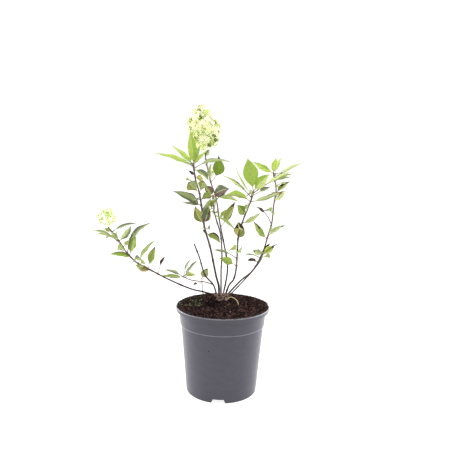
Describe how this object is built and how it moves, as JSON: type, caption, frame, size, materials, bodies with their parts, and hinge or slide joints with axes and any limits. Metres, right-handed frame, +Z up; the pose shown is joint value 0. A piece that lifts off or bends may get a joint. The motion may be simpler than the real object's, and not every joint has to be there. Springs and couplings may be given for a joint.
{
  "type": "potted panicle hydrangea",
  "caption": "Young panicle hydrangea in a round plastic nursery pot: slender forked stems, narrow leaves, a large pale green flower head and a small one on a low side stem.",
  "frame": {"origin": "middle of the pot's flat underside, on the surface that it stands on", "axes": "+Z up, -Y towards the viewer of the picture, +X to the viewer's right"},
  "size_m": [0.3865, 0.2142, 0.525],
  "materials": {
    "pot_plastic": "satin slate grey moulded plastic",
    "potting_mix": "damp dark brown peat and bark crumbs",
    "bark": "smooth reddish brown young bark with pale breathing spots",
    "leaf": "soft satin leaf, green with scorched brown edges and tips",
    "blossom": "matt pale yellow-green petals"
  },
  "bodies": {
    "root": {"pot": "pot_plastic", "soil": "potting_mix", "rootstock": "bark", "bough_low_left": "bark", "bough_stub": "bark", "bough_tall_left": "bark", "bough_middle_front": "bark", "bough_middle_back": "bark", "bough_front_right": "bark", "bough_back_right": "bark", "bough_low_right": "bark", "foliage_low_left": "leaf", "foliage_low_twig": "leaf", "foliage_tall_left": "leaf", "foliage_middle_front": "leaf", "foliage_middle_back": "leaf", "foliage_front_right": "leaf", "foliage_back_right": "leaf", "foliage_low_right": "leaf", "foliage_small_shoot": "leaf", "blossom_top": "blossom", "blossom_left": "blossom"}
  },
  "joints": []
}
